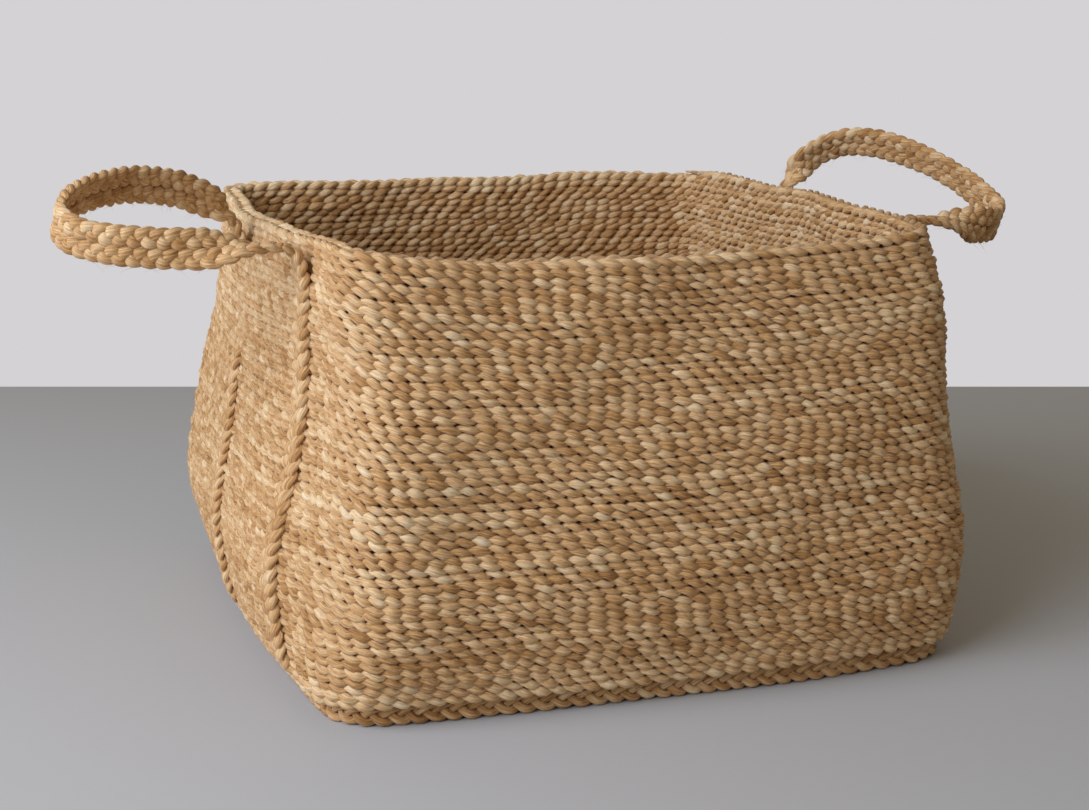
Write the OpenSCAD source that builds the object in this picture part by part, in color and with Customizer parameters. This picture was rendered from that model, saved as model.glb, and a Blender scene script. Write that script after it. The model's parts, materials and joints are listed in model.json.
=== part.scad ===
// Square storage basket made of one long three-strand plait.
// The plait stands on edge and is stitched turn on turn, so the wall is as thick as the plait is wide.
// Origin: centre of the underside. +Z up, the handles are at +X and -X.

/* [Basket] */
// Length and depth of the basket across its widest turn
body_w = 478; // [420:2:560]
// Height of the rim above the floor
body_h = 296; // [260:1:340]
// How far the rim stands in from the widest turn, on each side
rim_in = 28; // [10:1:30]
// How far the foot stands in from the widest turn, on each side
foot_in = 15; // [6:1:18]
// Height of the widest turn, as a share of the height
widest_at = 0.28; // [0.2:0.02:0.4]
// Radius of the upright corners at the widest turn
corner_r = 56; // [50:1:80]
// How far each side bows out between its corners
side_bow = 16; // [6:1:20]

/* [Plait] */
// Width of the plait on edge, which is the thickness of the wall
plait_w = 14.5; // [12:0.5:16]
// Number of turns of plait above the base
turns = 52; // [52:1:56]
// Thickness of the base, where the plait lies in a flat coil
base_t = 14; // [12:0.5:16]

/* [Handle straps] */
// Width of one strap plait
strap_w = 15; // [12:0.5:16]
// Thickness of a strap plait
strap_t = 10; // [8:0.5:11]
// Space between the two plaits of a strap
strap_seam = 0.5; // [0.3:0.1:1]
// Distance from the rim out to the line about which a handle turns
root_out = 12; // [9:0.5:12]
// Depth of that line below the top of the rim
root_down = 4; // [3:0.5:5]

/* [Left handle] */
// Distance between the two legs
left_gap = 145; // [130:5:200]
// How far the pair of legs stands off the middle of the side
left_shift = -68; // [-70:1:0]
// Reach of the loop past its turning line
left_reach = 122; // [100:1:140]
// Height of the middle of the loop above its legs
left_rise = 26; // [10:1:30]
// How far the rear half stands above the front half
left_sway = 13; // [0:1:30]
// How far the tip leans to the front: 1 is even
left_lean = 1.38; // [1:0.02:1.8]
// Fullness of the loop: smaller is squarer
left_full = 1.1; // [0.8:0.05:1.2]

/* [Right handle] */
// Distance between the two legs
right_gap = 195; // [130:5:200]
// How far the pair of legs stands off the middle of the side
right_shift = -23; // [-40:1:0]
// Reach of the loop past its turning line
right_reach = 95; // [90:1:120]
// Height of the middle of the loop above its legs
right_rise = 26; // [10:1:30]
// How far the rear half stands above the front half
right_sway = 24; // [0:1:30]
// How far the tip leans to the front: 1 is even
right_lean = 1.7; // [1:0.02:1.8]
// Fullness of the loop: smaller is squarer
right_full = 0.8; // [0.8:0.05:1.2]

/* [Hidden] */

straw = [0.80, 0.66, 0.45];
pale_straw = [0.87, 0.76, 0.57];
golden = [0.73, 0.56, 0.34];

turn_h = (body_h - base_t) / turns;
// Turns that are grouped in one band; the last band takes what is left below the rim
turns_per_band = 4;
bands = 13;
half_w = body_w / 2;
// Radius of a bowed side, from its half length and its bow
side_r = half_w * half_w / (2 * side_bow);
// Centre of a corner's arc: it touches both side arcs from inside
side_c = half_w - side_r;
corner_c = (side_c + sqrt(2 * pow(side_r - corner_r, 2) - side_c * side_c)) / 2;
// Half the angle that a side arc covers
side_a = atan2(corner_c, corner_c - side_c);

// How far the outline at height z stands in from the widest one
function inset(z) = let (t = z / body_h)
    t < widest_at ? foot_in * pow((widest_at - t) / widest_at, 2)
                  : rim_in * pow((t - widest_at) / (1 - widest_at), 1.3);

// x of the outer face of an end wall, at height z and distance y from its middle
function face_x(z, y) = side_c + sqrt(pow(side_r - inset(z), 2) - y * y);

// ---- outline of a turn ----

side_pieces = 4;
corner_pieces = 6;

function on_arc(c, r, a) = [c.x + r * cos(a), c.y + r * sin(a)];
function turned(p, a) = [p.x * cos(a) - p.y * sin(a), p.x * sin(a) + p.y * cos(a)];

// One side arc and the corner arc after it, both set in by d
function quarter_outline(d) = concat(
    [for (i = [0:side_pieces - 1])
        on_arc([side_c, 0], side_r - d, side_a * (2 * i / side_pieces - 1))],
    [for (i = [0:corner_pieces - 1])
        on_arc([corner_c, corner_c], corner_r - d, side_a + (90 - 2 * side_a) * i / corner_pieces)]);

function outline(d) = [for (quarter = [0:3]) for (p = quarter_outline(d)) turned(p, 90 * quarter)];

// ---- wall ----

// Inset of turn k, in steps that the plait can follow
turn_step = 0.5;
function turn_inset(k) = turn_step * round(inset(base_t + (k + 0.5) * turn_h) / turn_step);
// How far a turn runs up into the next turn of its band, so that the band is one solid
turn_lap = 0.02;

module ring_of_turns(first, last) {
    for (k = [first:last])
        translate([0, 0, base_t + k * turn_h]) linear_extrude(turn_h + (k < last ? turn_lap : 0)) difference() {
            polygon(outline(turn_inset(k)));
            polygon(outline(turn_inset(k) + plait_w));
        }
}

module wall_band(number) {
    first = (number - 1) * turns_per_band;
    last = number == bands ? turns - 2 : first + turns_per_band - 1;
    color(straw) ring_of_turns(first, last);
}

module rim_turn() {
    color(pale_straw) ring_of_turns(turns - 1, turns - 1);
}

// ---- base ----

// Inset and height of the step along the lowest edge of the base
base_step = 4;

module base_mat() {
    color(golden) {
        linear_extrude(base_step) polygon(outline(inset(0) + base_step));
        translate([0, 0, base_step]) linear_extrude(base_t - base_step) polygon(outline(inset(0)));
    }
}

// ---- bands swept along a path ----

function unit(v) = v / norm(v);

// Section of a plait: a flat bar with bevelled edges, w across and t thick
function bar_section(w, t) = let (c = t * 0.3)
    [[w / 2, c - t / 2], [w / 2, t / 2 - c], [w / 2 - c, t / 2], [c - w / 2, t / 2],
     [-w / 2, t / 2 - c], [-w / 2, c - t / 2], [c - w / 2, -t / 2], [w / 2 - c, -t / 2]];

// frames holds [centre, direction of the width, direction of the thickness] for each ring
module swept_bar(frames, w, t) {
    section = bar_section(w, t);
    m = len(section);
    n = len(frames);
    points = [for (f = frames) for (p = section) f[0] + p.x * f[1] + p.y * f[2]];
    sides = [for (i = [0:n - 2]) for (j = [0:m - 1])
        let (a = i * m + j, b = i * m + (j + 1) % m) each [[b + m, b, a], [a + m, b + m, a]]];
    caps = [[for (j = [0:m - 1]) j], [for (j = [m - 1:-1:0]) (n - 1) * m + j]];
    polyhedron(points, concat(sides, caps));
}

// ---- tails: the ends of the carrying plait, sewn down the outside of an end wall ----

// Space between a tail and the wall behind it
tail_gap = 1;
// Height of a tail's two ends
tail_top = body_h - 12;
tail_foot = base_t + 4;
tail_rings = 24;

module tail(end, y) {
    frames = [for (i = [0:tail_rings])
        let (z = tail_top + (tail_foot - tail_top) * i / tail_rings,
             turn = asin(y / (side_r - inset(z))),
             out = [cos(turn), sin(turn), 0])
        [[face_x(z, y), y, z] + (tail_gap + strap_t / 2) * out, [-sin(turn), cos(turn), 0], out]];
    color(golden) mirror([end < 0 ? 1 : 0, 0, 0]) swept_bar(frames, strap_w, strap_t);
}

// ---- handles ----

// Turning line of both handles, as [x, z] on the right
root = [half_w - rim_in + root_out, body_h - root_down];
// Each handle as [gap, shift, reach, rise, sway, lean, full]
left_loop = [left_gap, left_shift, left_reach, left_rise, left_sway, left_lean, left_full];
right_loop = [right_gap, right_shift, right_reach, right_rise, right_sway, right_lean, right_full];
handle_rings = 36;
// Share of the strap at each leg over which it twists flat against the wall
twist_share = 0.15;
// Share of the strap at each leg that the grip plait leaves bare
bare_share = 0.1;

// Centre of the strap, u from 0 at the rear leg to 1 at the front one
function loop_point(u, loop) = [
    root[0] + loop[2] * pow(sin(180 * pow(u, loop[5])), loop[6]),
    loop[1] + loop[0] / 2 * cos(180 * u),
    root[1] + loop[3] * sin(180 * u) + loop[4] * sin(360 * u)];

function smooth(t) = let (c = min(max(t, 0), 1)) c * c * (3 - 2 * c);

// Centre, width and thickness directions of the strap at u
function loop_frame(u, loop) =
    let (step = 0.004, a = max(u - step, 0), b = min(u + step, 1),
         along = unit(loop_point(b, loop) - loop_point(a, loop)),
         middle = [root[0] + loop[2] * 0.45, loop[1], root[1] + loop[3] * 0.6],
         open = unit(cross(along, loop_point(u, loop) - middle)),
         flat = smooth(min(u, 1 - u) / twist_share),
         raw = flat * open + (1 - flat) * [0, 1, 0],
         across = unit(raw - (raw * along) * along))
    [loop_point(u, loop), across, cross(along, across)];

// How far the carrying plait stands off the middle of the strap: it takes the middle at the legs
function carrying_shift(u) = -(strap_w + strap_seam) / 2 * smooth(min(u, 1 - u) / bare_share);

// One plait of a strap, at shift from the carrying plait, between u0 and u1
module strap_plait(end, loop, shift, u0, u1) {
    frames = [for (i = [0:handle_rings])
        let (u = u0 + (u1 - u0) * i / handle_rings, f = loop_frame(u, loop))
        [f[0] + (carrying_shift(u) + shift) * f[1], f[1], f[2]]];
    mirror([end < 0 ? 1 : 0, 0, 0]) swept_bar(frames, strap_w, strap_t);
}

module carrying_plait(end, loop) {
    color(straw) strap_plait(end, loop, 0, 0, 1);
}

module grip_plait(end, loop) {
    color(pale_straw) strap_plait(end, loop, strap_w + strap_seam, bare_share, 1 - bare_share);
}

base_mat();
wall_band(1);  // wall_band_01
wall_band(2);  // wall_band_02
wall_band(3);  // wall_band_03
wall_band(4);  // wall_band_04
wall_band(5);  // wall_band_05
wall_band(6);  // wall_band_06
wall_band(7);  // wall_band_07
wall_band(8);  // wall_band_08
wall_band(9);  // wall_band_09
wall_band(10);  // wall_band_10
wall_band(11);  // wall_band_11
wall_band(12);  // wall_band_12
wall_band(13);  // wall_band_13
rim_turn();
tail(-1, left_shift - left_gap / 2);  // left_front_tail
tail(-1, left_shift + left_gap / 2);  // left_rear_tail
tail(1, right_shift - right_gap / 2);  // right_front_tail
tail(1, right_shift + right_gap / 2);  // right_rear_tail
carrying_plait(-1, left_loop);  // left_carrying_plait
grip_plait(-1, left_loop);  // left_grip_plait
carrying_plait(1, right_loop);  // right_carrying_plait
grip_plait(1, right_loop);  // right_grip_plait
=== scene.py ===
"""Square storage basket of plaited plant fibre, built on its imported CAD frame.

One long three-strand plait stands on edge: it lies in a flat coil in the base, then climbs the wall turn on
turn. Two soft handles are loops of two plaits, and the ends of their carrying plaits run down the end walls.
"""

import json
import math

import bpy
import numpy as np
from bpy.props import FloatProperty, FloatVectorProperty, IntProperty, PointerProperty
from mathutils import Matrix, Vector


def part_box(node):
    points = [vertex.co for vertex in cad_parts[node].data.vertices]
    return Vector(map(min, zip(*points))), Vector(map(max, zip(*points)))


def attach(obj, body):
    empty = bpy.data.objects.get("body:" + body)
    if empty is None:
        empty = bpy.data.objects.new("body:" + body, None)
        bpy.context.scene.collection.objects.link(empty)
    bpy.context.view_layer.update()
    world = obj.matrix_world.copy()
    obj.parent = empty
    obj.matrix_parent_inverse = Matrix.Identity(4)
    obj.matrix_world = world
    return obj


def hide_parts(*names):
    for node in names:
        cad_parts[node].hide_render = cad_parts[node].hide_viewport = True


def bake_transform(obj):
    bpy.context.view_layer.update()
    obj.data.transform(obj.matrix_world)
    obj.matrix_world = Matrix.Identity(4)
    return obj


bl_info = {
    "name": "Plaited storage basket",
    "version": (1, 0, 0),
    "blender": (4, 5, 0),
    "location": "View3D > Sidebar > Basket",
    "description": "Builds a soft basket of plaited plant fibre around its CAD frame",
    "category": "Object",
}

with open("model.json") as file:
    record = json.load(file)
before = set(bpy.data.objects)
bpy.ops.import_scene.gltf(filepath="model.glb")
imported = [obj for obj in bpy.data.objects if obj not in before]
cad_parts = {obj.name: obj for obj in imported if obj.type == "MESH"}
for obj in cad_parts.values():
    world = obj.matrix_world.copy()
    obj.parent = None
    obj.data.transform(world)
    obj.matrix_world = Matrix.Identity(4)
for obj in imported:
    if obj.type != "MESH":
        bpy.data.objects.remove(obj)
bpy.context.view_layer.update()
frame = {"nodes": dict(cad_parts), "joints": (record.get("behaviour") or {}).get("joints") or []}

WALL_BANDS = sorted(n for n in frame["nodes"] if n.startswith("wall_band_"))
BAND_BOXES = [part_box(n) for n in WALL_BANDS]
HALF_WIDTH = max(high.x for _, high in BAND_BOXES)
RIM_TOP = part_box("rim_turn")[1].z
BASE_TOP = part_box("base_mat")[1].z
HINGES = {j["child"]: Vector(j["pos_m"]) for j in frame["joints"]}
HANDLES = {"left": -1, "right": 1}
TAU = 2 * math.pi


# ---- properties ----

def linear(hex_colour):
    """An sRGB hex colour as linear red, green and blue."""
    parts = [int(hex_colour[i:i + 2], 16) / 255 for i in (1, 3, 5)]
    return [c / 12.92 if c <= 0.04045 else ((c + 0.055) / 1.055) ** 2.4 for c in parts]


def length(name, description, default, low=0.0, high=1.0):
    """A property that holds a length in metres."""
    return FloatProperty(name=name, description=description, default=default, min=low, max=high,
                         precision=4, unit="LENGTH", subtype="DISTANCE")


def share(name, description, default):
    """A property that holds a plain ratio."""
    return FloatProperty(name=name, description=description, default=default, min=0, max=2)


def colour(name, description, hex_colour):
    """A property that holds a surface colour."""
    return FloatVectorProperty(name=name, description=description, default=linear(hex_colour),
                               subtype="COLOR", size=3, min=0, max=1)


class BasketShape(bpy.types.PropertyGroup):
    """Outline and height profile of the basket."""
    side_bow: length("Side bow", "How far each side bows out between its corners", 0.016)
    corner_radius: length("Corner radius", "Radius of the upright corners at the widest turn", 0.056)
    rim_inset: length("Rim inset", "How far the rim stands in from the widest turn", 0.028)
    foot_inset: length("Foot inset", "How far the foot stands in from the widest turn", 0.015)
    widest_at: share("Widest at", "Height of the widest turn, as a share of the height", 0.28)
    front_sag: length("Front sag", "How far the middle of the front rim hangs down", 0.025)
    end_sag: length("End sag", "How far the middle of each end rim hangs down", 0.008)
    facet: length("Corner facet", "How far the front left corner is pressed in beside the handle", 0.020)
    crease: length("Corner crease", "How far the same corner stands out past the facet", 0.006)
    belly: length("Left belly", "How far the left end bulges out above the foot", 0.006)
    waist: length("Waist", "How far both ends stand in below the rim", 0.005)
    splay: length("Foot splay", "How far the foot stands out at the front right", 0.008)
    dent: length("Dents", "How far the soft wall wanders in and out", 0.0032)
    wave: length("Row waves", "How far the rows wander up and down", 0.0016)


class PlaitSizes(bpy.types.PropertyGroup):
    """Sizes of the three-strand plait."""
    width: length("Plait width", "Width of the plait, which is the thickness of the wall", 0.0145)
    pitch: length("Strand pitch", "Length of plait after which a strand is back on the same edge", 0.033)
    turns: IntProperty(name="Turns", description="Turns of plait above the base", default=52, min=10, max=80)
    strand_wide: length("Strand half width", "Half width of a strand across the plait", 0.0027)
    strand_thick: length("Strand half thickness", "Half thickness of a strand through the plait", 0.0033)
    lift: length("Strand lift", "How far a strand rises where it crosses another", 0.0014)
    coil_step: length("Coil step", "Distance between the turns of the base coil", 0.0058)


class HandleSizes(bpy.types.PropertyGroup):
    """Sizes of the plaits of the handles."""
    strap_width: length("Strap plait width", "Width of one plait of a strap", 0.0146)
    strap_pitch: length("Strap pitch", "Length of a strap's plait after which a strand is back", 0.0255)
    strap_thick: length("Strap plait thickness", "Thickness of one plait of a strap", 0.0084)
    spacing: length("Plait spacing", "Distance between the middles of the two plaits of a strap", 0.0127)
    strand_wide: length("Strand half width", "Half width of a strand across the plait", 0.0040)
    twist_share: share("Twist share", "Share of the strap over which it twists at each leg", 0.15)
    bare_share: share("Bare share", "Share of the strap at each leg that the grip plait leaves bare", 0.02)
    merge: length("Merge", "Length of strap from a leg over which the two plaits part", 0.034)
    tail_sink: length("Tail sink", "How deep a tail is pressed into the turns behind it", 0.0034)
    tail_foot: length("Tail foot", "Height of the lower end of a tail", 0.009)
    tail_top: length("Tail top", "Height at which a tail leaves the wall", 0.262)
    bend: length("Bend", "How far the hinge bend spreads out from the rim", 0.025)


def loop_group(name, gap, shift, reach, rise, sway, lean, full, hidden):
    """A property group that holds the shape of one handle's loop."""
    fields = {
        "gap": length("Gap", "Distance between the two legs", gap),
        "shift": length("Shift", "How far the legs stand off the middle of the side", shift, -0.2, 0.2),
        "reach": length("Reach", "Reach of the loop past its turning line", reach),
        "rise": length("Rise", "Height of the middle of the loop above its legs", rise),
        "sway": length("Sway", "How far the rear half stands above the front half", sway),
        "lean": share("Lean", "How far the tip leans to the front, 1 is even", lean),
        "full": share("Fullness", "Fullness of the loop, smaller is squarer", full),
        "hidden": length("Hidden top", "How much of the rear tail's top is worked into the wall", hidden),
    }
    return type(name, (bpy.types.PropertyGroup,), {"__annotations__": fields})


LeftLoop = loop_group("LeftLoop", 0.145, -0.068, 0.122, 0.026, 0.013, 1.38, 1.1, 0.07)
RightLoop = loop_group("RightLoop", 0.195, -0.023, 0.095, 0.026, 0.024, 1.7, 0.8, 0.0)


class FibreColours(bpy.types.PropertyGroup):
    """Colours of the dried fibre, from the deepest to the palest, and of the stage."""
    deep: colour("Deep", "Oldest, most golden fibre", "#6E4318")
    golden: colour("Golden", "Golden fibre", "#A6763D")
    straw: colour("Straw", "Straw fibre, the common colour", "#C99F6C")
    pale: colour("Pale", "Pale, sun-bleached fibre", "#DFC498")
    grey: colour("Grey", "Palest fibre, slightly grey", "#DDCFB5")
    floor: colour("Floor", "Plain floor", "#B0AFAD")
    wall: colour("Wall", "Plain backdrop", "#D4D2D4")


class BasketSettings(bpy.types.PropertyGroup):
    """Everything a user would change."""
    shape: PointerProperty(type=BasketShape)
    plait: PointerProperty(type=PlaitSizes)
    handle: PointerProperty(type=HandleSizes)
    left_loop: PointerProperty(type=LeftLoop)
    right_loop: PointerProperty(type=RightLoop)
    colours: PointerProperty(type=FibreColours)


def settings():
    return bpy.context.scene.plaited_basket


# ---- small mathematics ----

def smooth(t):
    """An ease from 0 to 1: 3 t^2 - 2 t^3, held at both ends."""
    t = np.clip(t, 0, 1)
    return t * t * (3 - 2 * t)


def bell(t, middle, wide):
    """A bell of height 1 about its middle: exp(-((t - middle) / wide)^2)."""
    return np.exp(-((t - middle) / wide) ** 2)


def unit(v):
    """Each vector divided by its length."""
    return v / np.linalg.norm(v, axis=-1, keepdims=True)


def dot(a, b):
    """Scalar products, kept as a column."""
    return np.sum(a * b, axis=-1, keepdims=True)


def wander(s, step, seed):
    """A smooth random line from -1 to 1: seeded values a step apart, joined by eases."""
    place = (s - np.min(s)) / step
    knots = np.random.default_rng(seed).uniform(-1, 1, int(np.max(place)) + 3)
    i = np.floor(place).astype(int)
    return knots[i] + (knots[i + 1] - knots[i]) * smooth(place - i)


def run_length(points):
    """Length of the polyline up to each of its points."""
    steps = np.linalg.norm(np.diff(points, axis=0), axis=1)
    return np.concatenate([[0], np.cumsum(steps)])


def rows_at(s, at, rows):
    """Each column of rows, interpolated from the places s to the places at."""
    return np.stack([np.interp(at, s, column) for column in rows.T], axis=1)


# ---- shape of the basket ----

def wall_inset(z):
    """How far the wall stands in at height z: a parabola below the widest turn, the power 1.3 above it."""
    shape = settings().shape
    t = z / RIM_TOP
    below = np.clip((shape.widest_at - t) / shape.widest_at, 0, None) ** 2
    above = np.clip((t - shape.widest_at) / (1 - shape.widest_at), 0, None) ** 1.3
    return shape.foot_inset * below + shape.rim_inset * above


def outline_arcs():
    """Radius and centre of a side arc, radius and centre of a corner arc, and half the side's angle."""
    shape = settings().shape
    side_radius = HALF_WIDTH ** 2 / (2 * shape.side_bow)
    side_centre = HALF_WIDTH - side_radius
    reach = 2 * (side_radius - shape.corner_radius) ** 2 - side_centre ** 2
    corner_centre = (side_centre + math.sqrt(reach)) / 2
    half_angle = math.atan2(corner_centre, corner_centre - side_centre)
    return side_radius, side_centre, shape.corner_radius, corner_centre, half_angle


def outline_point(facing, inset):
    """Points of the outline set in by inset, where its outward normal has the angle facing.
    A quarter is a side arc and a corner arc, and the other three quarters are its turns."""
    side_radius, side_centre, corner_radius, corner_centre, half_angle = outline_arcs()
    quarter = np.floor((facing + half_angle) / (TAU / 4)) * (TAU / 4)
    local = facing - quarter
    on_side = local < half_angle
    radius = np.where(on_side, side_radius, corner_radius) - inset
    x = np.where(on_side, side_centre, corner_centre) + radius * np.cos(local)
    y = np.where(on_side, 0, corner_centre) + radius * np.sin(local)
    cos, sin = np.cos(quarter), np.sin(quarter)
    return np.stack([x * cos - y * sin, x * sin + y * cos], axis=-1)


def facing_along(turn, inset):
    """Angle of the outward normal after turn turns at an even pace, from the rear right corner."""
    side_radius, _, corner_radius, _, half_angle = outline_arcs()
    side = (side_radius - inset) * 2 * half_angle
    corner = (corner_radius - inset) * (TAU / 4 - 2 * half_angle)
    runs = np.array([0, corner / 2] + [side, corner] * 3 + [side, corner / 2])
    swept = np.array([0, TAU / 8 - half_angle] + [2 * half_angle, TAU / 4 - 2 * half_angle] * 3
                     + [2 * half_angle, TAU / 8 - half_angle])
    whole = np.floor(turn)
    place = np.interp(turn - whole, np.cumsum(runs) / np.sum(runs), np.cumsum(swept))
    return TAU / 8 + TAU * whole + place


# Bells of the front left corner, as middle and width in degrees from its diagonal, less than 0 on the
# handle's side
CREASE_BELL = (8, 6)
FACET_BELL = (-5, 9)
# Bell of the foot's splay, as middle and width in degrees round from the right end
SPLAY_BELL = (-57, 25)
# Bells of the two ends, as middle and width in shares of the height
BELLY_BELL = (0.27, 0.16)
WAIST_BELL = (0.7, 0.16)
# Share of the facet that is gone at the rim
FACET_FADE = 0.62
# Waves of the dents: how many go round the wall, and how many up it
DENT_WAVES = ((2, 0.6), (3, 1.1), (5, 0.8), (7, 1.7), (11, 2.3))


def soften(points):
    """Sag and dents of the soft basket. The front rim hangs as 1 - (x / half)^2, the end rims as
    1 - (y / half)^2, both with the square of the height. Dents are sums of waves round and up the wall.
    Bells of the angle press a facet into the front left corner, push a crease out past it and splay the
    foot at the front right; bells of the height give the ends their belly and waist."""
    shape = settings().shape
    x, y, z = points[..., 0], points[..., 1], points[..., 2]
    height = np.clip(z / RIM_TOP, 0, 1.1)
    front = np.clip(-y / HALF_WIDTH, 0, 1) ** 2 * np.clip(1 - (x / HALF_WIDTH) ** 2, 0, 1)
    ends = np.clip(np.abs(x) / HALF_WIDTH, 0, 1) ** 2 * np.clip(1 - (y / HALF_WIDTH) ** 2, 0, 1)
    around = np.arctan2(y, x)
    dents = np.zeros_like(z)
    waves = np.zeros_like(z)
    rng = np.random.default_rng(11)
    for around_count, up_count in DENT_WAVES:
        for target in (dents, waves):
            a, b = rng.uniform(0, TAU, 2)
            target += np.sin(around_count * around + a) * np.sin(TAU * up_count * height + b) / 2
    past = np.degrees((around + 3 * TAU / 8 + TAU / 2) % TAU - TAU / 2)
    pressed = shape.crease * bell(past, *CREASE_BELL) - shape.facet * bell(past, *FACET_BELL)
    pressed = pressed * smooth((height - 0.03) / 0.27) * (1 - FACET_FADE * smooth((height - 0.68) / 0.3))
    end = np.clip(np.abs(x) / HALF_WIDTH, 0, 1) ** 2
    bulge = (shape.belly * end * (x < 0) * bell(height, *BELLY_BELL)
             - shape.waist * end * bell(height, *WAIST_BELL))
    right_front = bell(np.degrees(around), *SPLAY_BELL) * (1 - smooth((height - 0.12) / 0.3))
    out = shape.dent * dents * smooth(height * 4) + pressed + bulge + shape.splay * right_front
    far = np.maximum(np.hypot(x, y), 1e-4)
    down = height ** 2 * (shape.front_sag * front + shape.end_sag * ends)
    lift = shape.wave * waves * smooth(height * 4) * smooth((far / HALF_WIDTH - 0.3) * 3)
    return np.stack([x + out * x / far, y + out * y / far, z - down + lift], axis=-1)


# ---- plaits ----

# Share by which a strand's section thins where it dives under the next
TAPER = 0.42
# How much single lumps differ, as shares of the strand's sway, lift, half width and half thickness
SWAY_SPREAD = 0.09
LIFT_SPREAD = 0.4
WIDE_SPREAD = 0.12
THICK_SPREAD = 0.2
# Tone of the fibre: the common one, and how much lumps, runs of one strand and stretches of plait differ
COMMON_TONE = 0.52
LUMP_TONES = 0.11
RUN_TONES = 0.11
STRETCH_TONES = 0.06
# Lengths over which the plait's pace, a strand's tone and a stretch's tone change
PACE_STEP = 0.11
RUN_STEP = 0.17
STRETCH_STEP = 0.8
# Length of strand on which the fibres turn by one radian, and the length of one unit of the grain
TWIST_LENGTH = 0.05
GRAIN_LENGTH = 0.024
# Distance between the strands in the grain's space, so that no two are alike
GRAIN_APART = 17.3


def plait(centre, across, deep, s, pitch, sizes, sides, seed, tone=0.0, full=1.0, jitter=1.0, drift=1.0):
    """The three strands of a flat plait carried along a path. Strand i stands sway sin(f) across and
    lift sin(2 f) deep, with f = 2 pi s / pitch + 2 pi i / 3, so each passes over one and under the next.
    A section is an ellipse square to the strand, thinner by TAPER cos(f)^2 where the strand dives under.
    Returns rings of points, their tone and grain, and how far each stands across from the middle."""
    sway, lift, wide, thick = sizes
    order = np.arange(3)[:, None]
    f = TAU * s / pitch + TAU * order / 3 + drift * wander(s, PACE_STEP, seed)
    lumps = f * 2 / TAU

    def each_lump(first):
        return np.stack([wander(lumps[i], 1.0, seed + first + i) for i in range(3)])

    side = full * sway * (1 + SWAY_SPREAD * jitter * each_lump(1)) * np.sin(f)
    rise = full * lift * (1 + LIFT_SPREAD * jitter * each_lump(4)) * np.sin(2 * f)
    line = centre + side[..., None] * across + rise[..., None] * deep
    along = unit(np.gradient(line, axis=1))
    first = unit(across - dot(across, along) * along)
    second = np.cross(along, first)
    angle = TAU * np.arange(sides) / sides
    wide_now = full * wide * (1 + WIDE_SPREAD * jitter * each_lump(7))
    thick_now = full * thick * (1 + THICK_SPREAD * jitter * each_lump(10)) * (1 - TAPER * np.cos(f) ** 2)
    rings = (line[:, :, None]
             + (wide_now[..., None] * np.cos(angle))[..., None] * first[:, :, None]
             + (thick_now[..., None] * np.sin(angle))[..., None] * second[:, :, None])
    long_runs = np.stack([wander(s, RUN_STEP, seed + 20 + i) for i in range(3)])
    tones = (COMMON_TONE + tone + LUMP_TONES * each_lump(13) + RUN_TONES * long_runs
             + STRETCH_TONES * wander(s, STRETCH_STEP, seed + 30))
    twist = angle + (s / TWIST_LENGTH)[:, None]
    along_grain = np.broadcast_to((s / GRAIN_LENGTH)[:, None], twist.shape)
    grain = np.stack([np.cos(twist), np.sin(twist), along_grain], axis=-1)
    grain = grain + (order * GRAIN_APART)[..., None, None]
    stand = np.sum((rings - centre[:, None]) * across[:, None], axis=-1)
    return {"rings": soften(rings), "tone": tones, "grain": grain, "stand": stand}


FIBRE_RADIUS = 0.00012
FIBRE_RINGS = 7
FIBRE_SIDES = 3
# Places drawn for each fibre, and the share of the plait's half width past which a place is kept
FIBRE_TRIES = 8
EDGE_SHARE = 0.82


def stray_fibres(woven, count, longest, seed):
    """Loose ends of single fibres: thin tubes of three sides that taper along a line. Each leaves an edge of
    the plait along its strand, turned by a small angle, and lifts off it with the power 1.6 of its length."""
    rng = np.random.default_rng(seed)
    rings, stand = woven["rings"], np.abs(woven["stand"])
    strands, rows, sides, _ = rings.shape
    tries = count * FIBRE_TRIES
    i = rng.integers(strands, size=tries)
    j = rng.integers(3, rows - 3, size=tries)
    k = rng.integers(sides, size=tries)
    kept = np.nonzero(stand[i, j, k] > EDGE_SHARE * stand.max())[0][:count]
    i, j, k = i[kept], j[kept], k[kept]
    foot = rings[i, j, k]
    out = unit(foot - rings[i, j].mean(axis=1))
    along = unit(rings[i, j + 2, k] - rings[i, j - 2, k]) * rng.choice([-1, 1], len(kept))[:, None]
    beside = np.cross(along, out)
    turn = rng.normal(0, 0.45, len(kept))[:, None]
    reach = longest * rng.uniform(0.2, 1, len(kept))[:, None, None] ** 1.5
    lift = reach * rng.uniform(0, 0.45, len(kept))[:, None, None]
    t = np.linspace(0, 1, FIBRE_RINGS)[None, :, None]
    way = unit(along * np.cos(turn) + beside * np.sin(turn))[:, None]
    curl = rng.uniform(-0.25, 0.25, len(kept))[:, None, None] * reach
    line = (foot[:, None] + way * reach * t + out[:, None] * lift * t ** 1.6
            + beside[:, None] * curl * t ** 2)
    radius = FIBRE_RADIUS * (1 - 0.75 * t)
    angle = TAU * np.arange(FIBRE_SIDES) / FIBRE_SIDES
    around = (np.cos(angle)[:, None] * out[:, None, None] + np.sin(angle)[:, None]
              * np.cross(way, out[:, None])[:, :, None])
    tubes = line[:, :, None] + radius[..., None] * around
    tones = woven["tone"][i, j][:, None] + rng.uniform(-0.1, 0.3, len(kept))[:, None]
    grain = woven["grain"][i, j, k][:, None, None]
    return {"rings": tubes, "tone": np.repeat(tones, FIBRE_RINGS, axis=1),
            "grain": np.repeat(grain, FIBRE_RINGS, axis=1).repeat(FIBRE_SIDES, axis=2)}


def part_of(woven, start, end):
    """The stretch of a plait from ring start to ring end, both kept."""
    return {key: values[:, start:end + 1] for key, values in woven.items()}


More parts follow.
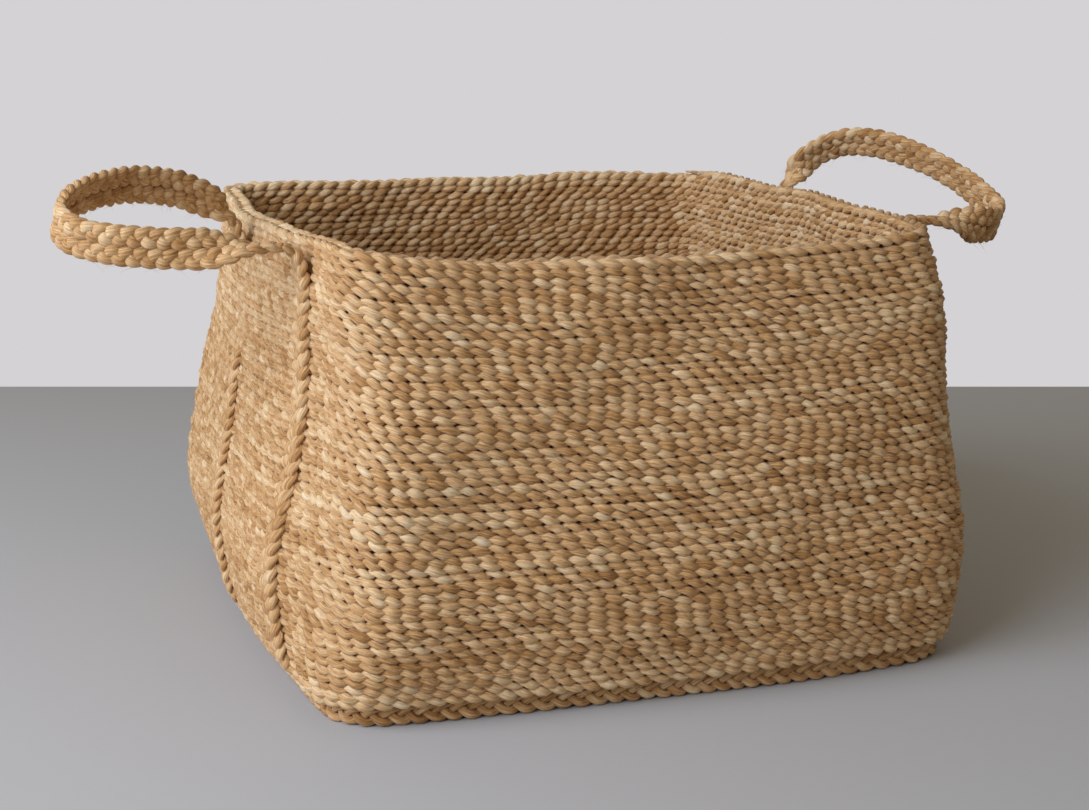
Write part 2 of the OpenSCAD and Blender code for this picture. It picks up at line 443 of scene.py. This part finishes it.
def mesh_from_rings(name, woven, material):
    """One closed tube for each strand: quads between rings, and a flat cap on each end."""
    rings = woven["rings"]
    strands, count, sides, _ = rings.shape
    corner = np.arange(strands * count * sides).reshape(strands, count, sides)
    after = np.roll(corner, -1, axis=2)
    quads = np.stack([corner[:, :-1], after[:, :-1], after[:, 1:], corner[:, 1:]], axis=-1).reshape(-1, 4)
    caps = np.concatenate([corner[:, 0, ::-1], corner[:, -1]])
    mesh = bpy.data.meshes.new(name)
    mesh.vertices.add(corner.size)
    mesh.vertices.foreach_set("co", rings.astype(np.float32).ravel())
    mesh.loops.add(quads.size + caps.size)
    mesh.loops.foreach_set("vertex_index", np.concatenate([quads.ravel(), caps.ravel()]).astype(np.int32))
    mesh.polygons.add(len(quads) + len(caps))
    starts = np.concatenate([np.arange(len(quads)) * 4, quads.size + np.arange(len(caps)) * sides])
    mesh.polygons.foreach_set("loop_start", starts.astype(np.int32))
    shaded = np.concatenate([np.ones(len(quads), bool), np.zeros(len(caps), bool)])
    mesh.polygons.foreach_set("use_smooth", shaded)
    tone = np.repeat(woven["tone"][..., None], sides, axis=2)
    mesh.attributes.new("tone", "FLOAT", "POINT").data.foreach_set("value", tone.astype(np.float32).ravel())
    grain = mesh.attributes.new("grain", "FLOAT_VECTOR", "POINT")
    grain.data.foreach_set("vector", woven["grain"].astype(np.float32).ravel())
    mesh.update(calc_edges=True)
    mesh.validate()
    mesh.materials.append(material)
    piece = bpy.data.objects.new(name, mesh)
    bpy.context.scene.collection.objects.link(piece)
    return piece


# ---- materials ----

def add_node(tree, kind, values=None, links=None, **attributes):
    """A node with its attributes, its socket values by name or number, and its incoming links."""
    node = tree.nodes.new(kind)
    for key, value in attributes.items():
        setattr(node, key, value)
    for key, value in (values or {}).items():
        node.inputs[key].default_value = value
    for key, source in (links or {}).items():
        tree.links.new(source, node.inputs[key])
    return node


# Noise features in one unit of the grain
STREAKS = 3.2
FINE_FIBRES = 9.0


def fibre_material(name):
    """Dried plant fibre: matt, streaked along the strand where fibres of several ages lie together. A unit
    of the grain is a strand's radius of about 3 mm across and GRAIN_LENGTH along, so the streaks are about
    0.9 mm wide and 7.5 mm long, coarser than single fibres so that they show."""
    found = bpy.data.materials.get(name)
    if found:
        return found
    colours = settings().colours
    material = bpy.data.materials.new(name)
    material.use_nodes = True
    tree = material.node_tree
    shader = tree.nodes["Principled BSDF"]
    tone = add_node(tree, "ShaderNodeAttribute", attribute_name="tone")
    grain = add_node(tree, "ShaderNodeAttribute", attribute_name="grain")
    streaks = add_node(tree, "ShaderNodeTexNoise", {"Scale": STREAKS, "Detail": 4.0, "Roughness": 0.65},
                       {"Vector": grain.outputs["Vector"]})
    fine = add_node(tree, "ShaderNodeTexNoise", {"Scale": FINE_FIBRES, "Detail": 2.0, "Roughness": 0.6},
                    {"Vector": grain.outputs["Vector"]})
    spread = add_node(tree, "ShaderNodeMath", {1: 1.25, 2: -0.625},
                      {0: streaks.outputs["Fac"]}, operation="MULTIPLY_ADD")
    mixed = add_node(tree, "ShaderNodeMath", links={0: tone.outputs["Fac"], 1: spread.outputs[0]},
                     operation="ADD")
    ramp = add_node(tree, "ShaderNodeValToRGB", links={"Fac": mixed.outputs[0]})
    stops = ((0.08, colours.deep), (0.34, colours.golden), (0.56, colours.straw),
             (0.78, colours.pale), (0.98, colours.grey))
    while len(ramp.color_ramp.elements) < len(stops):
        ramp.color_ramp.elements.new(0.5)
    for element, (place, value) in zip(ramp.color_ramp.elements, stops):
        element.position = place
        element.color = (*value, 1)
    height = add_node(tree, "ShaderNodeMath", links={0: streaks.outputs["Fac"], 1: fine.outputs["Fac"]},
                      operation="ADD")
    bump = add_node(tree, "ShaderNodeBump", {"Strength": 0.7, "Distance": 0.0008},
                    {"Height": height.outputs[0]})
    rough = add_node(tree, "ShaderNodeMapRange", {"To Min": 0.55, "To Max": 0.85},
                     {"Value": fine.outputs["Fac"]})
    tree.links.new(ramp.outputs["Color"], shader.inputs["Base Color"])
    tree.links.new(bump.outputs["Normal"], shader.inputs["Normal"])
    tree.links.new(rough.outputs["Result"], shader.inputs["Roughness"])
    shader.inputs["IOR"].default_value = 1.5
    shader.inputs["Specular IOR Level"].default_value = 0.35
    shader.inputs["Sheen Weight"].default_value = 0.12
    shader.inputs["Sheen Roughness"].default_value = 0.5
    return material


def plain_material(name, value):
    """A plain matt surface of one colour, for the stage."""
    material = bpy.data.materials.new(name)
    material.use_nodes = True
    shader = material.node_tree.nodes["Principled BSDF"]
    shader.inputs["Base Color"].default_value = (*value, 1)
    shader.inputs["Roughness"].default_value = 0.8
    return material


# ---- wall and base ----

TURNS_A_BAND = 4
# Rings of points in one pitch of the wall's plait, and sides of its strands
WALL_RINGS = 13
WALL_SIDES = 7
# Points on a turn from which the length of the helix is measured
DENSE_A_TURN = 600
# How far the plait's middle wanders out and up
UNEVEN_OUT = 0.0006
UNEVEN_UP = 0.0004
# How much paler the turn along the rim is
RIM_TONE = 0.06
# Length over which the plait thins at each of its ends
WALL_TAPER = 0.05
WALL_FIBRES = 3000
WALL_FIBRE_LENGTH = 0.012


def wall_sizes():
    """Sway, lift, half width and half thickness of the wall's strands."""
    sizes = settings().plait
    sway = sizes.width / 2 - sizes.strand_wide
    return sway, sizes.lift, sizes.strand_wide, sizes.strand_thick


def wall_plait():
    """The plait of the whole wall as one helix: its middle climbs a turn's height on every turn, and
    stands in by the wall's inset and half a plait. Returns the strands, and the turn count at each ring."""
    sizes = settings().plait
    step = (RIM_TOP - BASE_TOP) / sizes.turns
    pace = settings().shape.foot_inset + sizes.width / 2

    def place(turn):
        facing = facing_along(turn, pace)
        z = BASE_TOP + step * turn
        flat = outline_point(facing, wall_inset(z) + sizes.width / 2)
        return np.column_stack([flat, z]), facing

    dense = np.linspace(0, sizes.turns, sizes.turns * DENSE_A_TURN + 1)
    s = run_length(place(dense)[0])
    at = np.linspace(0, s[-1], int(s[-1] / sizes.pitch * WALL_RINGS))
    turn = np.interp(at, s, dense)
    centre, facing = place(turn)
    across = np.column_stack([np.cos(facing), np.sin(facing), np.zeros_like(facing)])
    deep = np.broadcast_to([0.0, 0.0, 1.0], across.shape)
    centre = centre + across * UNEVEN_OUT * wander(at, 0.11, 5)[:, None]
    centre = centre + deep * UNEVEN_UP * wander(at, 0.14, 6)[:, None]
    pale_rim = RIM_TONE * smooth((turn - sizes.turns + 1.1) * 8)
    from_end = np.minimum(at, at[-1] - at)
    full = 0.25 + 0.75 * smooth(from_end / WALL_TAPER)
    return plait(centre, across, deep, at, sizes.pitch, wall_sizes(), WALL_SIDES, 40, pale_rim, full), turn


class BASKET_OT_wall(bpy.types.Operator):
    """Thirteen bands of plaited turns, stacked on edge, and the turn along the rim."""
    bl_idname = "basket.wall"
    bl_label = "Wall"

    def execute(self, context):
        woven, turn = wall_plait()
        material = fibre_material("dried_fibre_wall")
        last = settings().plait.turns
        starts = [TURNS_A_BAND * i for i in range(len(WALL_BANDS))] + [last - 1, last]
        names = WALL_BANDS + ["rim_turn"]
        for node, start, end in zip(names, starts[:-1], starts[1:]):
            first, final = np.searchsorted(turn, [start, end - 1e-9])
            stretch = part_of(woven, first, min(final, len(turn) - 1))
            is_rim = node == "rim_turn"
            # The turn along the rim has its own material, the same as the wall's. It is made paler only by
            # RIM_TONE added to its tone.
            own = fibre_material("dried_fibre_rim") if is_rim else material
            piece = mesh_from_rings(f"plait_{node}", stretch, own)
            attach(piece, "basket")
            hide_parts(node)
        fibres = stray_fibres(woven, WALL_FIBRES, WALL_FIBRE_LENGTH, 77)
        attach(mesh_from_rings("wall_stray_fibres", fibres, material), "basket")
        return {"FINISHED"}


# Height above the floor at which the basket's own weight flattens the coil where it rests
REST_GAP = 0.0002
# Stretches of the base coil: name, first and last turn, rings a pitch, and sides. A turn below 0, and a last
# turn of 0, count back from the outer end
BASE_STRETCHES = (("base_coil_centre", 0, 20, 10, 6), ("base_coil_middle", 20, 29, 10, 6),
                  ("base_coil_outer", 29, -2, 10, 6), ("base_edge", -2, 0, 16, 8))


def base_path(turns, count, first_turn, last_turn):
    """Middle of the base's flat coil, for count rings. Its half size grows by a step on every turn, and
    its shape goes from a circle at the middle to the foot's outline at the edge."""
    sizes = settings().plait
    edge = wall_inset(np.array(0.0)) + sizes.strand_thick + sizes.lift
    facing = np.linspace(-TAU / 2, TAU / 2, 721)
    rim = outline_point(facing, edge)
    angles = np.arctan2(rim[:, 1], rim[:, 0])
    reach = np.hypot(rim[:, 0], rim[:, 1])
    order = np.argsort(angles)
    turn = np.linspace(first_turn, last_turn, count)
    angle = TAU / 8 + TAU * (turn - turns)
    wrapped = (angle + TAU / 2) % TAU - TAU / 2
    half = float(HALF_WIDTH - edge)
    bulge = np.interp(wrapped, angles[order], reach[order], period=TAU) / half
    size = np.maximum(half - (turns - turn) * sizes.coil_step, 0.004)
    squareness = smooth(size / half * 1.6)
    radius = size * bulge ** squareness
    z = np.full_like(radius, sizes.width / 2)
    return np.column_stack([radius * np.cos(angle), radius * np.sin(angle), z])


def base_plait(turns, first_turn, last_turn, rings_a_pitch, sides, seed):
    """The plait of a stretch of the base coil, standing on edge, its width upright."""
    sizes = settings().plait
    dense = base_path(turns, int((last_turn - first_turn) * 400) + 2, first_turn, last_turn)
    s = run_length(dense)
    at = np.linspace(0, s[-1], int(s[-1] / sizes.pitch * rings_a_pitch))
    centre = rows_at(s, at, dense)
    along = unit(np.gradient(centre, axis=0))
    across = np.broadcast_to([0.0, 0.0, 1.0], centre.shape)
    deep = np.cross(along, across)
    woven = plait(centre, across, deep, at, sizes.pitch, wall_sizes(), sides, seed)
    woven["rings"][..., 2] = np.maximum(woven["rings"][..., 2], REST_GAP)
    return woven


class BASKET_OT_base(bpy.types.Operator):
    """The base, a flat coil of the same plait on edge, with its last two turns along the foot."""
    bl_idname = "basket.base"
    bl_label = "Base"

    def execute(self, context):
        edge = wall_inset(np.array(0.0))
        turns = int((HALF_WIDTH - edge - 0.008) / settings().plait.coil_step)
        material = fibre_material("dried_fibre_base")
        for order, (name, first, last, rings, sides) in enumerate(BASE_STRETCHES):
            first = first if first >= 0 else turns + first
            last = last if last > 0 else turns + last
            woven = base_plait(turns, first, last, rings, sides, 300 + 40 * order)
            piece = mesh_from_rings(name, woven, material)
            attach(piece, "basket")
            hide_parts("base_mat")
        return {"FINISHED"}


# ---- handles ----

# Points along a strap's line, and along each bend between a tail and a strap
STRAP_POINTS = 900
BEND_POINTS = 30
# How far a bend keeps the direction of the tail or the strap that it leaves
BEND_PULL = 0.035
# How far the foot of a tail turns in, and over what length
FOOT_IN = 0.005
FOOT_RUN = 0.025
# How far a hidden top turns in, and over what length
TOP_IN = 0.006
TOP_RUN = 0.02
# Length of strap at a leg along which the two plaits are one
LEG_LENGTH = 0.003
# Rings of points in one pitch of a strap's plait, and sides of its strands
STRAP_RINGS = 24
STRAP_SIDES = 12
# Half thickness of a strap's strand, as a share of the strap's thickness
STRAND_SHARE = 0.33
# Length over which a strap's plait thins at each of its ends
STRAP_TAPER = 0.02
STRAP_FIBRES = 350
STRAP_FIBRE_LENGTH = 0.011


def loop_point(u, loop, root):
    """Middle of a strap, u from 0 at the rear leg to 1 at the front one: it reaches out as a leaning sine,
    goes across as a cosine, and rises as a sine with a slower sway, all in the right handle's frame."""
    return np.column_stack([
        root[0] + loop.reach * np.clip(np.sin(math.pi * u ** loop.lean), 0, None) ** loop.full,
        loop.shift + loop.gap / 2 * np.cos(math.pi * u),
        root[1] + loop.rise * np.sin(math.pi * u) + loop.sway * np.sin(TAU * u)])


def strap_across(u, points, along, loop, root):
    """Direction of a strap's width: upright round the loop, and easing to lie along the wall at the legs."""
    share_flat = settings().handle.twist_share
    middle = np.array([root[0] + loop.reach * 0.45, loop.shift, root[1] + loop.rise * 0.6])
    upright = unit(np.cross(along, points - middle))
    twist = smooth(np.minimum(u, 1 - u) / share_flat)[:, None]
    raw = twist * upright + (1 - twist) * np.array([0.0, 1.0, 0.0])
    return unit(raw - dot(raw, along) * along)


def hermite(start, start_way, end, end_way, count):
    """A cubic bend between two points with the given directions, its ends left out."""
    t = np.linspace(0, 1, count + 2)[1:-1, None]
    return ((2 * t ** 3 - 3 * t ** 2 + 1) * start + (t ** 3 - 2 * t ** 2 + t) * start_way
            + (3 * t ** 2 - 2 * t ** 3) * end + (t ** 3 - t ** 2) * end_way)


def tail_points(y, hidden):
    """Line of a tail up an end wall at y, from its foot to where it leaves the wall, and its width's way.
    Its foot turns in, and its top does too over the hidden length, worked in between the turns."""
    handle = settings().handle
    side_radius, side_centre, _, _, _ = outline_arcs()
    z = np.linspace(handle.tail_foot, handle.tail_top, 160)
    radius = side_radius - wall_inset(z)
    turn = np.arcsin(y / radius)
    stand = handle.strap_thick / 2 - handle.tail_sink
    stand = stand - FOOT_IN * (1 - smooth((z - handle.tail_foot) / FOOT_RUN))
    if hidden:
        stand = stand - TOP_IN * smooth((z - handle.tail_top + hidden) / TOP_RUN)
    x = side_centre + np.sqrt(radius ** 2 - y ** 2) + stand * np.cos(turn)
    across = np.column_stack([-np.sin(turn), np.cos(turn), np.zeros_like(z)])
    return np.column_stack([x, y + stand * np.sin(turn), z]), across


def strap_line(loop, root):
    """Share along the strap, its middle, the direction of its width, and half the way between its plaits,
    which part with an ease of the distance from the nearer leg."""
    handle = settings().handle
    u = np.linspace(0, 1, STRAP_POINTS)
    middle = loop_point(u, loop, root)
    along = unit(np.gradient(middle, axis=0))
    across = strap_across(u, middle, along, loop, root)
    s = run_length(middle)
    apart = smooth((np.minimum(s, s[-1] - s) - LEG_LENGTH) / handle.merge)[:, None]
    return u, middle, across, handle.spacing / 2 * apart * across


def carrying_path(loop, root):
    """The whole line of a carrying plait: up the rear tail, over a bend, round the loop, over the front
    bend and down the front tail. Returns its points, the directions of its width, the length run at each
    point, and the same lengths for the points of the loop alone."""
    _, middle, across, apart = strap_line(loop, root)
    looped = middle - apart
    up = np.array([0.0, 0.0, BEND_PULL])
    rear, rear_across = tail_points(loop.shift + loop.gap / 2, loop.hidden)
    front, front_across = tail_points(loop.shift - loop.gap / 2, 0)
    first_way = unit(looped[8] - looped[0]) * BEND_PULL
    last_way = unit(looped[-1] - looped[-9]) * BEND_PULL
    rear_bend = hermite(rear[-1], up, looped[0], first_way, BEND_POINTS)
    front_bend = hermite(looped[-1], last_way, front[-1], -up, BEND_POINTS)
    ease = np.linspace(0, 1, BEND_POINTS + 2)[1:-1, None]
    points = np.concatenate([rear, rear_bend, looped, front_bend, front[::-1]])
    ways = np.concatenate([rear_across, rear_across[-1] + ease * (across[0] - rear_across[-1]), across,
                           across[-1] + ease * (front_across[-1] - across[-1]), front_across[::-1]])
    first_root = len(rear) + len(rear_bend)
    s = run_length(points)
    return points, ways, s, s[first_root:first_root + len(looped)]


def strap_sizes():
    """Sway, lift, half width and half thickness of a strap's strands."""
    handle = settings().handle
    thick = handle.strap_thick * STRAND_SHARE
    sway = handle.strap_width / 2 - handle.strand_wide
    return sway, handle.strap_thick / 2 - thick, handle.strand_wide, thick


def swept_plait(points, ways, s, side, seed):
    """A strap's plait along a line, mirrored for the left handle, and thinner towards its ends. Returns the
    strands, and the length run at each ring."""
    pitch = settings().handle.strap_pitch
    at = np.linspace(s[0], s[-1], int((s[-1] - s[0]) / pitch * STRAP_RINGS))
    centre = rows_at(s, at, points) * [side, 1, 1]
    along = unit(np.gradient(centre, axis=0))
    across = rows_at(s, at, ways) * [side, 1, 1]
    across = unit(across - dot(across, along) * along)
    full = 0.3 + 0.7 * smooth(np.minimum(at - at[0], at[-1] - at) / STRAP_TAPER)
    deep = np.cross(along, across)
    woven = plait(centre, across, deep, at, pitch, strap_sizes(), STRAP_SIDES, seed,
                  full=full, jitter=0.8, drift=0.2)
    return woven, at


class BASKET_OT_handles(bpy.types.Operator):
    """Two soft handles, each a carrying plait with its two tails and a grip plait sewn beside it."""
    bl_idname = "basket.handles"
    bl_label = "Handles and tails"

    def execute(self, context):
        handle = settings().handle
        strap = fibre_material("dried_fibre_handle")
        tail = fibre_material("dried_fibre_tail")
        for word, side in HANDLES.items():
            body = f"{word}_handle"
            hinge = HINGES[body]
            root = (abs(hinge.x), hinge.z)
            loop = getattr(settings(), f"{word}_loop")
            points, ways, s, looped_s = carrying_path(loop, root)
            seed = 500 if side < 0 else 600
            woven, at = swept_plait(points, ways, s, side, seed)
            first, last = np.searchsorted(at, looped_s[[0, -1]])
            ends = {"rear_tail": (0, first), "carrying_plait": (first, last),
                    "front_tail": (last, len(at) - 1)}
            u, middle, across, apart = strap_line(loop, root)
            held = (u > handle.bare_share) & (u < 1 - handle.bare_share)
            # The grip plait keeps step with the carrying plait, so that their lumps interlock
            grip, _ = swept_plait((middle + apart)[held], across[held], looped_s[held], side, seed)
            made = {kind: part_of(woven, *rings) for kind, rings in ends.items()}
            made["grip_plait"] = grip
            made["stray_fibres"] = stray_fibres(made["carrying_plait"], STRAP_FIBRES,
                                                STRAP_FIBRE_LENGTH, seed + 7)
            for kind, stretch in made.items():
                is_tail = kind.endswith("tail")
                piece = mesh_from_rings(f"{word}_{kind}_strands", stretch, tail if is_tail else strap)
                if kind != "stray_fibres":
                    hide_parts(f"{word}_{kind}")
                if is_tail:
                    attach(piece, "basket")
                else:
                    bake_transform(piece)
        return {"FINISHED"}


# ---- stage ----

FLOOR_REACH = 6.0
# How far behind the basket the floor ends, which places the horizon
FLOOR_BACK = 0.78
CAMERA_YAW = math.radians(-19.2)
CAMERA_RISE = math.radians(12.1)
CAMERA_DISTANCE = 1.345
CAMERA_TARGET = Vector((-0.0028, 0.0, 0.1457))
CAMERA_LENS = 61.16
# One large window to the left of the basket and a little in front of it
KEY_YAW = math.radians(-66)
KEY_RISE = math.radians(27)
KEY_DISTANCE = 2.05
KEY_SIZE = 1.7
KEY_POWER = 51
KEY_TINT = (0.92, 1.0, 1.18)
FILL_TINT = (1.0, 0.90, 0.74)
FILL_STRENGTH = 0.33


def view_way(yaw, rise):
    """Unit vector from the object to a camera at that angle round it and that angle above it."""
    return Vector((math.sin(yaw) * math.cos(rise), -math.cos(yaw) * math.cos(rise), math.sin(rise)))


def add_area(name, place, aim, size, power, tint):
    """A square soft light at place that points to aim."""
    light = bpy.data.lights.new(name, "AREA")
    light.shape = "SQUARE"
    light.size = size
    light.energy = power
    light.color = tint
    lamp = bpy.data.objects.new(name, light)
    bpy.context.scene.collection.objects.link(lamp)
    lamp.location = place
    lamp.rotation_euler = (aim - place).to_track_quat("-Z", "Y").to_euler()


class BASKET_OT_stage(bpy.types.Operator):
    """Plain floor, plain pale backdrop, one large soft light from the left, and the camera."""
    bl_idname = "basket.stage"
    bl_label = "Stage"

    def execute(self, context):
        colours = settings().colours
        scene = context.scene
        away = -view_way(CAMERA_YAW, 0)
        beside = Vector((-away.y, away.x, 0)) * FLOOR_REACH
        behind, before = away * FLOOR_BACK, -away * FLOOR_REACH
        corners = [behind + beside, behind - beside, before - beside, before + beside]
        mesh = bpy.data.meshes.new("floor")
        mesh.from_pydata([tuple(c) for c in corners], [], [(3, 2, 1, 0)])
        mesh.materials.append(plain_material("plain_floor", colours.floor))
        floor = bpy.data.objects.new("floor", mesh)
        scene.collection.objects.link(floor)
        world = bpy.data.worlds.new("studio")
        world.use_nodes = True
        tree = world.node_tree
        seen = add_node(tree, "ShaderNodeBackground", {"Color": (*colours.wall, 1), "Strength": 1.0})
        fill = tree.nodes["Background"]
        fill.inputs["Color"].default_value = (*FILL_TINT, 1)
        fill.inputs["Strength"].default_value = FILL_STRENGTH
        ray = add_node(tree, "ShaderNodeLightPath")
        both = add_node(tree, "ShaderNodeMixShader", links={
            0: ray.outputs["Is Camera Ray"], 1: fill.outputs[0], 2: seen.outputs[0]})
        tree.links.new(both.outputs[0], tree.nodes["World Output"].inputs["Surface"])
        scene.world = world
        scene.view_settings.view_transform = "Standard"
        aim = Vector((0, 0, 0.15))
        way = view_way(KEY_YAW, KEY_RISE)
        add_area("window_light", aim + way * KEY_DISTANCE, aim, KEY_SIZE, KEY_POWER, KEY_TINT)
        camera = bpy.data.objects.new("camera", bpy.data.cameras.new("camera"))
        camera.data.lens = CAMERA_LENS
        camera.data.sensor_width = 36.0
        way = view_way(CAMERA_YAW, CAMERA_RISE)
        camera.location = CAMERA_TARGET + way * CAMERA_DISTANCE
        camera.rotation_euler = (-way).to_track_quat("-Z", "Y").to_euler()
        scene.collection.objects.link(camera)
        scene.camera = camera
        return {"FINISHED"}


class BASKET_PT_panel(bpy.types.Panel):
    """Lists the basket's sizes and the steps that build it."""
    bl_idname = "BASKET_PT_panel"
    bl_label = "Plaited basket"
    bl_space_type = "VIEW_3D"
    bl_region_type = "UI"
    bl_category = "Basket"

    def draw(self, context):
        basket = context.scene.plaited_basket
        for group in ("shape", "plait", "handle", "left_loop", "right_loop", "colours"):
            box = self.layout.box()
            box.label(text=group.replace("_", " ").capitalize())
            part = getattr(basket, group)
            for key in part.bl_rna.properties.keys():
                if key not in ("rna_type", "name"):
                    box.prop(part, key)
        for step in STEPS:
            self.layout.operator(step.bl_idname)


STEPS = (BASKET_OT_base, BASKET_OT_wall, BASKET_OT_handles, BASKET_OT_stage)
CLASSES = (BasketShape, PlaitSizes, HandleSizes, LeftLoop, RightLoop, FibreColours, BasketSettings,
           *STEPS, BASKET_PT_panel)


def register():
    for cls in CLASSES:
        bpy.utils.register_class(cls)
    bpy.types.Scene.plaited_basket = PointerProperty(type=BasketSettings)


def unregister():
    del bpy.types.Scene.plaited_basket
    for cls in reversed(CLASSES):
        bpy.utils.unregister_class(cls)


def main():
    register()
    bpy.ops.basket.base()
    bpy.ops.basket.wall()
    bpy.ops.basket.handles()
    bpy.ops.basket.stage()


if __name__ == "__main__":
    main()
